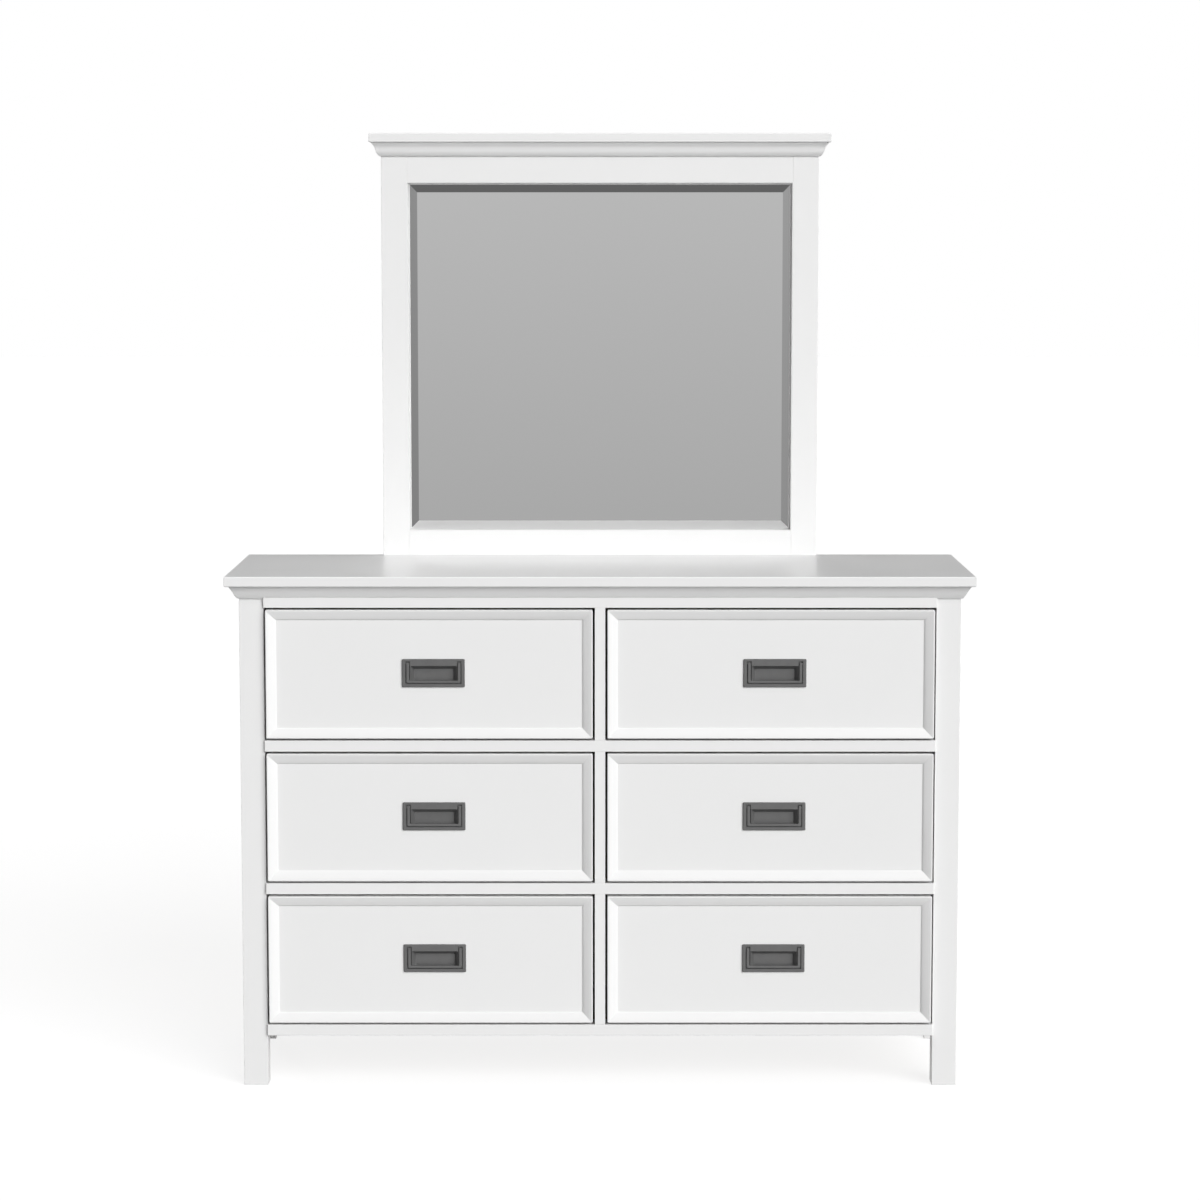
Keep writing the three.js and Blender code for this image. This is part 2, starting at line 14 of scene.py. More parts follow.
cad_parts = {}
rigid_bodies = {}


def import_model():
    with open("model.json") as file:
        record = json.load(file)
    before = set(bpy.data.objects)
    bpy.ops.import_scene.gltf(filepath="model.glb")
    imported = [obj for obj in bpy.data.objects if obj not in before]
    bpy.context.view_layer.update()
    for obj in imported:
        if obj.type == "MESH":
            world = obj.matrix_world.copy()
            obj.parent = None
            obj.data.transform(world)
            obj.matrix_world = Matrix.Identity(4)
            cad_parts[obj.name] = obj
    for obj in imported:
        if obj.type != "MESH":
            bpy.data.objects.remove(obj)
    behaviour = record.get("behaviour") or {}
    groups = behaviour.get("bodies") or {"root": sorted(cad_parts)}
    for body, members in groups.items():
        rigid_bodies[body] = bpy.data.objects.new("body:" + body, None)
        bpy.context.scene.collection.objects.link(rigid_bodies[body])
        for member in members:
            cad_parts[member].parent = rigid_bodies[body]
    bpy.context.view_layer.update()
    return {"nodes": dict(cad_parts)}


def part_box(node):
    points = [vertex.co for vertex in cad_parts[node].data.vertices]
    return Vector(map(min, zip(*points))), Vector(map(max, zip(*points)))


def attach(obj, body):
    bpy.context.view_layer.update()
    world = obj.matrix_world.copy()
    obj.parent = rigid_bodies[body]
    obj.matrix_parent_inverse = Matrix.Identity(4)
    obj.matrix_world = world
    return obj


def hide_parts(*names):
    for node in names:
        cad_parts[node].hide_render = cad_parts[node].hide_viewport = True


bl_info = {
    "name": "White Dresser with Mirror",
    "version": (1, 0, 0),
    "blender": (4, 5, 0),
    "location": "View3D > Sidebar > Dresser",
    "description": "Dresses the packed solids of a dresser with mirror and sets up its studio",
    "category": "Object",
}

for leftover in list(bpy.data.objects):
    bpy.data.objects.remove(leftover)

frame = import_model()

ROWS = ("bottom", "middle", "top")
SIDES = ("left", "right")
DRAWERS = [f"{row}_{side}" for row in ROWS for side in SIDES]

# Sizes of the drawer boxes' undersides and of the bails, which their solids share
BOX_LIFT = 0.005
CHANNEL_HALF = 0.0155
CHANNEL_HEIGHT = 0.0143
FLOOR_THICKNESS = 0.006
STRIP_WIDTH = 0.008
PIN_LENGTH = 0.003
PIN_RADIUS = 0.0011
BAIL_LEG = 0.0055
BAIL_BAR = 0.0045
BRACKET_THICKNESS = 0.004

# Thickness of the boards that close the case below its bottom drawers
DUST_BOARD = 0.006

# Where the dovetails start and end in each step along a corner, as shares of the step
TAIL_START = 0.22
TAIL_END = 0.78

# Inner corner of a bail, as a share of its outer one
BAIL_INNER_SHARE = 0.55

# Eased edges of the hidden wood, and of the mirror's bead as a share of the other lacquered wood
BOARD_EDGE = 0.0005
GUIDE_EDGE = 0.0006
SUPPORT_EDGE = 0.001
SHEET_EDGE = 0.0003
BEAD_EDGE_SHARE = 0.6

# Screws and nails: how far their heads stand out, how many sides they have, and where they sit
SCREW_RISE = 0.0004
SCREW_SIDES = 24
NAIL_RISE = 0.0006
NAIL_SIDES = 16
GUIDE_SCREW_SHARE = 0.8
GUIDE_SCREW_HEIGHT = 0.015
GUIDE_SCREW_INSET = 0.007
PANEL_NAIL_INSET = 0.008
PANEL_NAIL_PITCH = 0.11
BACKING_NAIL_INSET = 0.007
BACKING_NAIL_PITCH = 0.085

# Corners of a solid that lie closer than this are merged
MERGE_DISTANCE = 0.00002

# Faces that turn by less than this, in degrees, count as one flat face
FLAT_TURN = 0.4

# Turns that lay the grain of a wood along an axis
QUARTER = math.pi / 2
ALONG_X = (0, -QUARTER, 0)
ALONG_Y = (QUARTER, 0, 0)
ALONG_Z = (0, 0, 0)

# The studio's floor: how far it lies below the feet, its grey, and the glow that makes it read as white
FLOOR_DROP = 0.0002
FLOOR_GREY = 0.3
FLOOR_GLOW = 0.82

# The studio's cards: where they stand, and their light as (share of the height or width, level) stops
CARD_DISTANCE = 9.0
CARD_HEIGHT = 8.0
FRONT_CARD_HALF = 10.0
FRONT_CARD_UPWARD = ((0.02, 0.42), (0.24, 0.52), (0.34, 0.3), (0.45, 0.13), (1.0, 0.08))
FRONT_CARD_SIDEWAYS = ((0.34, 0.42), (0.42, 1.0), (0.58, 1.0), (0.66, 0.58))
REAR_CARD_HALF = 16.0
REAR_CARD_UPWARD = ((0.0, 0.12), (0.5, 0.12), (1.0, 0.5))
REAR_CARD_SIDEWAYS = ((0.0, 1.0), (1.0, 1.0))

# The lamps: how wide each one's disc is, in degrees, and the way its light runs
KEY_SPREAD = 50
KEY_AIM = (-0.55, 0.78, -0.40)
TOP_SPREAD = 60
TOP_AIM = (0, 0, -1)
BACK_SPREAD = 10
BACK_AIM = (0.35, -1, -0.1)

# Width of the camera's sensor, in millimetres
SENSOR_WIDTH = 36


# Sizes and colours that a user would change


class DresserSizes(bpy.types.PropertyGroup):
    """Small sizes of the dresser that its solids leave open."""

    wood_edge: FloatProperty(
        name="Wood edge",
        description="Width of the eased edges of the lacquered wood",
        default=0.0007,
        min=0,
        unit="LENGTH",
        subtype="DISTANCE",
    )
    metal_edge: FloatProperty(
        name="Metal edge",
        description="Width of the eased edges of the pulls",
        default=0.0004,
        min=0,
        unit="LENGTH",
        subtype="DISTANCE",
    )
    bail_edge: FloatProperty(
        name="Bail edge",
        description="Radius of the round edges along the bails",
        default=0.0014,
        min=0,
        unit="LENGTH",
        subtype="DISTANCE",
    )
    bail_corner: FloatProperty(
        name="Bail corner",
        description="Radius of the two outer bottom corners of a bail",
        default=0.0035,
        min=0,
        unit="LENGTH",
        subtype="DISTANCE",
    )
    board: FloatProperty(
        name="Drawer board",
        description="Thickness of the boards round a drawer box",
        default=0.012,
        min=0.004,
        unit="LENGTH",
        subtype="DISTANCE",
    )
    dovetails: IntProperty(
        name="Dovetails",
        description="Tails in each corner of a drawer box",
        default=5,
        min=1,
        max=12,
    )
    tail_slope: FloatProperty(
        name="Tail slope",
        description="How much a dovetail widens on each side over its length",
        default=0.0018,
        min=0,
        unit="LENGTH",
        subtype="DISTANCE",
    )
    screw_head: FloatProperty(
        name="Screw head",
        description="Diameter of the countersunk screw heads",
        default=0.008,
        min=0.002,
        unit="LENGTH",
        subtype="DISTANCE",
    )
    nail_head: FloatProperty(
        name="Nail head",
        description="Diameter of the nail heads in the back panel and the mirror's backing",
        default=0.0045,
        min=0.001,
        unit="LENGTH",
        subtype="DISTANCE",
    )


class DresserColours(bpy.types.PropertyGroup):
    """Colours of the dresser's finishes."""

    lacquer: FloatVectorProperty(
        name="Lacquer",
        description="White of the satin lacquer",
        default=(0.83, 0.83, 0.828),
        subtype="COLOR",
        min=0,
        max=1,
    )
    gunmetal: FloatVectorProperty(
        name="Gunmetal",
        description="Grey of the pulls",
        default=(0.135, 0.135, 0.135),
        subtype="COLOR",
        min=0,
        max=1,
    )
    silver: FloatVectorProperty(
        name="Silver",
        description="Tint of the silvered glass",
        default=(0.93, 0.93, 0.93),
        subtype="COLOR",
        min=0,
        max=1,
    )
    drawer_wood: FloatVectorProperty(
        name="Drawer wood",
        description="Light tone of the drawer boxes",
        default=(0.66, 0.49, 0.31),
        subtype="COLOR",
        min=0,
        max=1,
    )
    bare_wood: FloatVectorProperty(
        name="Bare wood",
        description="Light tone of the guides and the mirror's supports",
        default=(0.56, 0.39, 0.22),
        subtype="COLOR",
        min=0,
        max=1,
    )
    plywood: FloatVectorProperty(
        name="Plywood",
        description="Light tone of the back panel, the partition and the drawer floors",
        default=(0.62, 0.47, 0.31),
        subtype="COLOR",
        min=0,
        max=1,
    )
    fibreboard: FloatVectorProperty(
        name="Fibreboard",
        description="Brown of the board behind the mirror",
        default=(0.20, 0.12, 0.065),
        subtype="COLOR",
        min=0,
        max=1,
    )
    zinc: FloatVectorProperty(
        name="Zinc",
        description="Grey of the screws and nails",
        default=(0.45, 0.45, 0.43),
        subtype="COLOR",
        min=0,
        max=1,
    )


class StudioSettings(bpy.types.PropertyGroup):
    """Camera, lamps and cards of the studio."""

    lens: FloatProperty(
        name="Lens",
        description="Focal length of the camera, on a sensor 36 mm wide",
        default=100,
        min=1,
        unit="CAMERA",
    )
    camera_distance: FloatProperty(
        name="Camera distance",
        description="Distance of the camera in front of the object's middle",
        default=6.5049,
        unit="LENGTH",
        subtype="DISTANCE",
    )
    camera_height: FloatProperty(
        name="Camera height",
        description="Height of the camera above the floor",
        default=1.6211,
        unit="LENGTH",
        subtype="DISTANCE",
    )
    camera_tilt: FloatProperty(
        name="Camera tilt",
        description="Angle by which the camera looks down",
        default=math.radians(6.168),
        unit="ROTATION",
        subtype="ANGLE",
    )
    key_strength: FloatProperty(
        name="Key strength",
        description="Strength of the key lamp, high on the right",
        default=3.25,
        min=0,
    )
    top_strength: FloatProperty(
        name="Top strength",
        description="Strength of the soft lamp straight above",
        default=0.3,
        min=0,
    )
    back_strength: FloatProperty(
        name="Back strength",
        description="Strength of the lamp behind the object, low on the left",
        default=1.3,
        min=0,
    )
    room_strength: FloatProperty(
        name="Room strength",
        description="Strength of the even light from all round",
        default=0.17,
        min=0,
    )
    floor_size: FloatProperty(
        name="Floor size",
        description="Width of the studio floor",
        default=80,
        min=2,
        unit="LENGTH",
        subtype="DISTANCE",
    )


# Mesh building


def mesh_object(name, build, material):
    """A new object whose mesh is made by build(bm)."""
    bm = bmesh.new()
    build(bm)
    bmesh.ops.recalc_face_normals(bm, faces=bm.faces)
    mesh = bpy.data.meshes.new(name)
    bm.to_mesh(mesh)
    bm.free()
    obj = bpy.data.objects.new(name, mesh)
    bpy.context.scene.collection.objects.link(obj)
    for one in material if isinstance(material, (list, tuple)) else [material]:
        mesh.materials.append(one)
    return obj


def add_prism(bm, outline, start, end, plane="XZ", material=0):
    """A closed prism from an outline of two coordinates, drawn out from start to end along the third."""
    place = {
        "XZ": lambda a, b, c: (a, c, b),
        "YZ": lambda a, b, c: (c, a, b),
        "XY": lambda a, b, c: (a, b, c),
    }[plane]
    near = [bm.verts.new(place(a, b, start)) for a, b in outline]
    far = [bm.verts.new(place(a, b, end)) for a, b in outline]
    faces = [bm.faces.new(near), bm.faces.new(far[::-1])]
    for i in range(len(outline)):
        j = (i + 1) % len(outline)
        faces.append(bm.faces.new((near[i], far[i], far[j], near[j])))
    for face in faces:
        face.material_index = material


def add_block(bm, low, high, material=0):
    """A closed block between two corners."""
    (x0, y0, z0), (x1, y1, z1) = low, high
    add_prism(bm, [(x0, z0), (x1, z0), (x1, z1), (x0, z1)], y0, y1, "XZ", material)


def arc(cx, cz, radius, start, end, steps=6):
    """Points on an arc from one angle to another, in degrees."""
    angles = [math.radians(start + (end - start) * i / steps) for i in range(steps + 1)]
    return [(cx + radius * math.cos(a), cz + radius * math.sin(a)) for a in angles]


def ease_edges(obj, width, segments=3, angle=math.radians(30)):
    """Rounds the sharp edges of an object with a modifier."""
    bevel = obj.modifiers.new("Eased edges", "BEVEL")
    bevel.width = width
    bevel.segments = segments
    bevel.limit_method = "ANGLE"
    bevel.angle_limit = angle
    bevel.harden_normals = False


def clean_surface_nodes(smooth):
    """Modifier nodes that merge split corners, drop stored normals and shade the mesh smooth or flat."""
    name = "Clean smooth surface" if smooth else "Clean flat surface"
    if name in bpy.data.node_groups:
        return bpy.data.node_groups[name]
    tree = bpy.data.node_groups.new(name, "GeometryNodeTree")
    tree.interface.new_socket("Geometry", in_out="INPUT", socket_type="NodeSocketGeometry")
    tree.interface.new_socket("Geometry", in_out="OUTPUT", socket_type="NodeSocketGeometry")
    start = tree.nodes.new("NodeGroupInput")
    merge = tree.nodes.new("GeometryNodeMergeByDistance")
    merge.inputs["Distance"].default_value = MERGE_DISTANCE
    bare = tree.nodes.new("GeometryNodeRemoveAttribute")
    bare.inputs["Name"].default_value = "custom_normal"
    shading = add_node(tree, "GeometryNodeSetShadeSmooth", Shade_Smooth=smooth)
    end = tree.nodes.new("NodeGroupOutput")
    tree.links.new(start.outputs["Geometry"], merge.inputs["Geometry"])
    tree.links.new(merge.outputs["Geometry"], bare.inputs["Geometry"])
    tree.links.new(bare.outputs["Geometry"], shading.inputs["Geometry"])
    tree.links.new(shading.outputs["Geometry"], end.inputs["Geometry"])
    return tree


def coat_solid(name, material, smooth=False):
    """Gives a solid of the frame its material and closes the split corners of its faces."""
    obj = frame["nodes"][name]
    obj.material_slots[0].link = "OBJECT"
    obj.material_slots[0].material = material
    clean = obj.modifiers.new("Clean surface", "NODES")
    clean.node_group = clean_surface_nodes(smooth)
    return obj


def finish_solid(name, material, edge, segments=3, pierced=False):
    """Gives a solid of the frame its material, clean faces and eased edges.

    A pierced solid has faces with holes in them, which have to stay divided.
    """
    obj = coat_solid(name, material, smooth=True)
    if not pierced:
        flat = obj.modifiers.new("Flat faces", "DECIMATE")
        flat.decimate_type = "DISSOLVE"
        flat.angle_limit = math.radians(FLAT_TURN)
    ease_edges(obj, edge, segments)
    weigh_normals(obj)


def weigh_normals(obj):
    """Keeps large faces flat beside their eased edges."""
    weighted = obj.modifiers.new("Weighted normals", "WEIGHTED_NORMAL")
    weighted.mode = "FACE_AREA"
    weighted.weight = 80
    weighted.keep_sharp = True


def smooth_mesh(obj):
    """Shades a built mesh smooth."""
    obj.data.polygons.foreach_set("use_smooth", [True] * len(obj.data.polygons))


# Shader nodes


def add_node(tree, kind, **inputs):
    """A node with some of its inputs set."""
    node = tree.nodes.new(kind)
    for name, value in inputs.items():
        node.inputs[name.replace("_", " ")].default_value = value
    return node


def new_group(name, inputs, outputs):
    """An empty shader node group with its sockets, and its input and output nodes."""
    tree = bpy.data.node_groups.new(name, "ShaderNodeTree")
    kinds = {"float": "NodeSocketFloat", "vector": "NodeSocketVector", "color": "NodeSocketColor"}
    for label, kind, default in inputs:
        socket = tree.interface.new_socket(label, in_out="INPUT", socket_type=kinds[kind])
        if default is not None:
            socket.default_value = default
    for label, kind in outputs:
        tree.interface.new_socket(label, in_out="OUTPUT", socket_type=kinds[kind])
    return tree, tree.nodes.new("NodeGroupInput"), tree.nodes.new("NodeGroupOutput")


def math_node(tree, operation, first, second, clamp=False):
    """A math node whose inputs are sockets or numbers."""
    node = tree.nodes.new("ShaderNodeMath")
    node.operation = operation
    node.use_clamp = clamp
    for slot, value in zip(node.inputs, (first, second)):
        if isinstance(value, (int, float)):
            slot.default_value = value
        else:
            tree.links.new(value, slot)
    return node.outputs[0]


def mix_colors(tree, factor, first, second, blend="MIX"):
    """A colour mix whose inputs are sockets, colours or numbers."""
    node = tree.nodes.new("ShaderNodeMix")
    node.data_type = "RGBA"
    node.blend_type = blend
    places = (node.inputs["Factor"], node.inputs[6], node.inputs[7])
    for slot, value in zip(places, (factor, first, second)):
        if isinstance(value, (int, float)):
            slot.default_value = value
        elif isinstance(value, (tuple, list)):
            slot.default_value = (*value[:3], 1)
        else:
            tree.links.new(value, slot)
    return node.outputs[2]


def to_range(tree, value, low, high):
    """Maps a socket from 0 to 1 onto a range."""
    node = add_node(tree, "ShaderNodeMapRange", To_Min=low, To_Max=high)
    tree.links.new(value, node.inputs["Value"])
    return node.outputs["Result"]


def uneven_finish_group():
    """Slow patches and a fine skin, as sprayed or cast surfaces have."""
    name = "Uneven finish"
    if name in bpy.data.node_groups:
        return bpy.data.node_groups[name]
    tree, start, end = new_group(
        name,
        [("Vector", "vector", None), ("Patch scale", "float", 6.0), ("Skin scale", "float", 300.0)],
        [("Patches", "float"), ("Skin", "float")],
    )
    patches = add_node(tree, "ShaderNodeTexNoise", Detail=3.0, Roughness=0.55)
    skin = add_node(tree, "ShaderNodeTexNoise", Detail=2.0, Roughness=0.5)
    for noise, scale in ((patches, "Patch scale"), (skin, "Skin scale")):
        tree.links.new(start.outputs["Vector"], noise.inputs["Vector"])
        tree.links.new(start.outputs[scale], noise.inputs["Scale"])
    tree.links.new(patches.outputs["Fac"], end.inputs["Patches"])
    tree.links.new(skin.outputs["Fac"], end.inputs["Skin"])
    return tree


def plank_grain_group():
    """Figure, fibres and pores of sawn wood. The vector's Z runs along the grain."""
    name = "Plank grain"
    if name in bpy.data.node_groups:
        return bpy.data.node_groups[name]
    tree, start, end = new_group(
        name,
        [("Vector", "vector", None), ("Figure scale", "float", 9.0), ("Fibre scale", "float", 160.0)],
        [("Figure", "float"), ("Fibres", "float"), ("Pores", "float")],
    )
    stretch = add_node(tree, "ShaderNodeMapping", Scale=(1.0, 1.0, 0.09))
    tree.links.new(start.outputs["Vector"], stretch.inputs["Vector"])
    warp = add_node(tree, "ShaderNodeTexNoise", Scale=2.2, Detail=2.0)
    tree.links.new(stretch.outputs["Vector"], warp.inputs["Vector"])
    bent = tree.nodes.new("ShaderNodeVectorMath")
    bent.operation = "MULTIPLY_ADD"
    bent.inputs[1].default_value = (0.22, 0.22, 0.22)
    tree.links.new(warp.outputs["Color"], bent.inputs[0])
    tree.links.new(stretch.outputs["Vector"], bent.inputs[2])
    rings = add_node(tree, "ShaderNodeTexWave", Distortion=1.6, Detail=3.0, Detail_Scale=1.4)
    rings.wave_type = "BANDS"
    rings.bands_direction = "DIAGONAL"
    rings.wave_profile = "SAW"
    tree.links.new(bent.outputs[0], rings.inputs["Vector"])
    tree.links.new(start.outputs["Figure scale"], rings.inputs["Scale"])
    fibres = add_node(tree, "ShaderNodeTexNoise", Detail=4.0, Roughness=0.65)
    tree.links.new(stretch.outputs["Vector"], fibres.inputs["Vector"])
    tree.links.new(start.outputs["Fibre scale"], fibres.inputs["Scale"])
    pores = add_node(tree, "ShaderNodeTexNoise", Detail=1.0)
    tree.links.new(stretch.outputs["Vector"], pores.inputs["Vector"])
    tree.links.new(math_node(tree, "MULTIPLY", start.outputs["Fibre scale"], 3.1), pores.inputs["Scale"])
    dots = tree.nodes.new("ShaderNodeMapRange")
    dots.inputs["From Min"].default_value = 0.62
    dots.inputs["From Max"].default_value = 0.72
    tree.links.new(pores.outputs["Fac"], dots.inputs["Value"])
    tree.links.new(rings.outputs["Fac"], end.inputs["Figure"])
    tree.links.new(fibres.outputs["Fac"], end.inputs["Fibres"])
    tree.links.new(dots.outputs["Result"], end.inputs["Pores"])
    return tree


def edge_mask_group():
    """A mask that is bright along outer edges, where hands and cloths rub; on the gunmetal it also
    carries a painted highlight.
    """
    name = "Worn edges"
    if name in bpy.data.node_groups:
        return bpy.data.node_groups[name]
    tree, start, end = new_group(
        name,
        [("Radius", "float", 0.001), ("Amount", "float", 1.0)],
        [("Mask", "float")],
    )
    rounded = tree.nodes.new("ShaderNodeBevel")
    rounded.samples = 4
    tree.links.new(start.outputs["Radius"], rounded.inputs["Radius"])
    geometry = tree.nodes.new("ShaderNodeNewGeometry")
    turn = tree.nodes.new("ShaderNodeVectorMath")
    turn.operation = "DOT_PRODUCT"
    tree.links.new(rounded.outputs["Normal"], turn.inputs[0])
    tree.links.new(geometry.outputs["Normal"], turn.inputs[1])
    apart = math_node(tree, "SUBTRACT", 1.0, turn.outputs["Value"], clamp=True)
    gained = math_node(tree, "MULTIPLY", apart, start.outputs["Amount"], clamp=True)
    tree.links.new(gained, end.inputs["Mask"])
    return tree


def new_material(name):
    """A material with a Principled shader, its tree and the object's own coordinates."""
    material = bpy.data.materials.new(name)
    material.use_nodes = True
    tree = material.node_tree
    shader = tree.nodes["Principled BSDF"]
    place = tree.nodes.new("ShaderNodeTexCoord").outputs["Object"]
    return material, tree, shader, place


def add_bump(tree, shader, height, strength, distance):
    """Feeds a height to the shader's normal through a Bump node."""
    bump = add_node(tree, "ShaderNodeBump", Strength=strength, Distance=distance)
    tree.links.new(height, bump.inputs["Height"])
    tree.links.new(bump.outputs["Normal"], shader.inputs["Normal"])


def place_group(tree, group, **inputs):
    """A group node with its inputs set to numbers or linked to sockets."""
    node = tree.nodes.new("ShaderNodeGroup")
    node.node_tree = group
    for name, value in inputs.items():
        slot = node.inputs[name.replace("_", " ")]
        if isinstance(value, (int, float)):
            slot.default_value = value
        else:
            tree.links.new(value, slot)
    return node


def shade(color, factor):
    """A colour made darker or lighter."""
    return tuple(min(1.0, c * factor) for c in color)


def patchy_tone(tree, finish, color, darkest, lightest):
    """A colour that drifts between a darker and a lighter shade with the patches of a finish."""
    return mix_colors(tree, finish.outputs["Patches"], shade(color, darkest), shade(color, lightest))


def lay_over(tree, mask, share, under, over):
    """Lays one colour over another where a mask is bright, at most by this share."""
    return mix_colors(tree, math_node(tree, "MULTIPLY", mask, share), under, over)


def set_gloss(tree, shader, mask, smoothest, roughest):
    """Roughness that changes with a mask."""
    tree.links.new(to_range(tree, mask, smoothest, roughest), shader.inputs["Roughness"])


def chosen_color(name):
    """The colour that the user set for a finish."""
    return tuple(getattr(bpy.context.scene.dresser_colours, name))


def material_once(name, make):
    """The material of this name, made on first use."""
    return bpy.data.materials.get(name) or make(name)


def satin_lacquer(name):
    """White satin lacquer: sprayed skin, slow changes in sheen, edges rubbed a touch darker."""
    color = chosen_color("lacquer")
    material, tree, shader, place = new_material(name)
    finish = place_group(tree, uneven_finish_group(), Vector=place, Patch_scale=5.0, Skin_scale=420.0)
    edges = place_group(tree, edge_mask_group(), Radius=0.0012, Amount=1.4)
    patchy = patchy_tone(tree, finish, color, darkest=0.993, lightest=1.006)
    worn = tuple(c * f for c, f in zip(color, (0.93, 0.92, 0.90)))
    edge_toned = lay_over(tree, edges.outputs["Mask"], 0.35, patchy, worn)
    tree.links.new(edge_toned, shader.inputs["Base Color"])
    set_gloss(tree, shader, finish.outputs["Patches"], smoothest=0.30, roughest=0.40)
    add_bump(tree, shader, finish.outputs["Skin"], strength=0.25, distance=0.00006)
    return material


def sawn_wood(name, color, turn, figure=9.0, contrast=1.0, roughness=0.5):
    """Sawn wood whose grain runs along the object's Z after this turn."""
    material, tree, shader, place = new_material(name)
    turned = add_node(tree, "ShaderNodeMapping", Rotation=turn)
    tree.links.new(place, turned.inputs["Vector"])
    grain = place_group(
        tree, plank_grain_group(), Vector=turned.outputs["Vector"], Figure_scale=figure, Fibre_scale=150.0
    )
    finish = place_group(tree, uneven_finish_group(), Vector=place, Patch_scale=3.0, Skin_scale=260.0)
    tone = patchy_tone(tree, finish, color, darkest=1 - 0.10 * contrast, lightest=1.08)
    dark = tuple(c * f for c, f in zip(color, (0.72, 0.62, 0.5)))
    ringed = lay_over(tree, grain.outputs["Figure"], 0.42 * contrast, tone, dark)
    fibred = lay_over(tree, grain.outputs["Fibres"], 0.36 * contrast, ringed, dark)
    pored = lay_over(tree, grain.outputs["Pores"], 0.45 * contrast, fibred, shade(dark, 0.6))
    tree.links.new(pored, shader.inputs["Base Color"])
    set_gloss(tree, shader, grain.outputs["Fibres"], roughness - 0.08, roughness + 0.12)
    add_bump(tree, shader, grain.outputs["Fibres"], strength=0.35, distance=0.0002)
    return material


def drawer_wood(name, turn, tone=1.0):
    """Clear-sealed pale wood of the drawer boxes."""
    color = tuple(c * tone for c in chosen_color("drawer_wood"))
    return sawn_wood(name, color, turn, figure=7.0, contrast=0.8, roughness=0.45)


def bare_wood(name, turn):
    """Bare planed wood of the guides and the supports."""
    return sawn_wood(name, chosen_color("bare_wood"), turn, figure=12.0, contrast=1.0, roughness=0.62)


def plywood(name, turn):
    """Bare plywood, with a broad flat figure."""
    return sawn_wood(name, chosen_color("plywood"), turn, figure=3.5, contrast=0.7, roughness=0.6)


def fibreboard(name):
    """Brown fibreboard with short pressed fibres."""
    color = chosen_color("fibreboard")
    material, tree, shader, place = new_material(name)
    finish = place_group(tree, uneven_finish_group(), Vector=place, Patch_scale=4.0, Skin_scale=900.0)
    flecks = add_node(tree, "ShaderNodeTexVoronoi", Scale=700.0)
    tree.links.new(place, flecks.inputs["Vector"])
    tone = patchy_tone(tree, finish, color, darkest=0.85, lightest=1.2)
    flecked = lay_over(tree, flecks.outputs["Distance"], 0.6, tone, shade(color, 1.7))
    tree.links.new(flecked, shader.inputs["Base Color"])
    set_gloss(tree, shader, finish.outputs["Skin"], smoothest=0.72, roughest=0.9)
    add_bump(tree, shader, finish.outputs["Skin"], strength=0.4, distance=0.0002)
    return material


def gunmetal(name):
    """Dark grey metal with a soft sheen, its colour lighter along the edges: rubbed metal, with a painted
    highlight laid over it.
    """
    color = chosen_color("gunmetal")
    material, tree, shader, place = new_material(name)
    finish = place_group(tree, uneven_finish_group(), Vector=place, Patch_scale=60.0, Skin_scale=900.0)
    edges = place_group(tree, edge_mask_group(), Radius=0.0008, Amount=1.6)
    tone = patchy_tone(tree, finish, color, darkest=0.88, lightest=1.12)
    # Painted highlight: along the edges the colour is lightened up to twice, for rubbed metal and for the
    # glint of the edges.
    edge_toned = lay_over(tree, edges.outputs["Mask"], 0.5, tone, shade(color, 2.0))
    tree.links.new(edge_toned, shader.inputs["Base Color"])
    shader.inputs["Metallic"].default_value = 0.25
    shader.inputs["Specular IOR Level"].default_value = 0.3
    set_gloss(tree, shader, finish.outputs["Patches"], smoothest=0.36, roughest=0.5)
    add_bump(tree, shader, finish.outputs["Skin"], strength=0.2, distance=0.00004)
    return material


def silvered_glass(name):
    """Silvered mirror glass with a trace of wiped haze."""
    color = chosen_color("silver")
    material, tree, shader, place = new_material(name)
    finish = place_group(tree, uneven_finish_group(), Vector=place, Patch_scale=3.0, Skin_scale=90.0)
    tone = patchy_tone(tree, finish, color, darkest=0.99, lightest=1.0)
    tree.links.new(tone, shader.inputs["Base Color"])
    shader.inputs["Metallic"].default_value = 1.0
    set_gloss(tree, shader, finish.outputs["Patches"], smoothest=0.012, roughest=0.03)
    return material


def zinc(name):
    """Zinc-plated steel of the screws and nails."""
    color = chosen_color("zinc")
    material, tree, shader, place = new_material(name)
    finish = place_group(tree, uneven_finish_group(), Vector=place, Patch_scale=400.0, Skin_scale=1500.0)
    tone = patchy_tone(tree, finish, color, darkest=0.8, lightest=1.25)
    tree.links.new(tone, shader.inputs["Base Color"])
    shader.inputs["Metallic"].default_value = 1.0
    set_gloss(tree, shader, finish.outputs["Patches"], smoothest=0.28, roughest=0.45)
    return material


def lacquer():
    """The white lacquer shared by the case, the drawer fronts and the mirror."""
    return material_once("Satin white lacquer", satin_lacquer)


def metal():
    """The dark metal shared by the pulls."""
    return material_once("Dark gunmetal", gunmetal)


def steel():
    """The plated steel shared by the screws and nails."""
    return material_once("Zinc-plated steel", zinc)


# Fasteners


def add_rings(bm, outline, sides):
    """Rings of corners round Z, one for each (radius, height) of an outline."""
    rings = []
    for radius, height in outline:
        ring = []
        for i in range(sides):
            angle = 2 * math.pi * i / sides
            ring.append(bm.verts.new((radius * math.cos(angle), radius * math.sin(angle), height)))
        rings.append(ring)
    return rings


def join_rings(bm, rings):
    """The faces between each ring of corners and the next."""
    faces = []
    for low, high in zip(rings, rings[1:]):
        for i in range(len(low)):
            j = (i + 1) % len(low)
            faces.append(bm.faces.new((low[i], low[j], high[j], high[i])))
    return faces


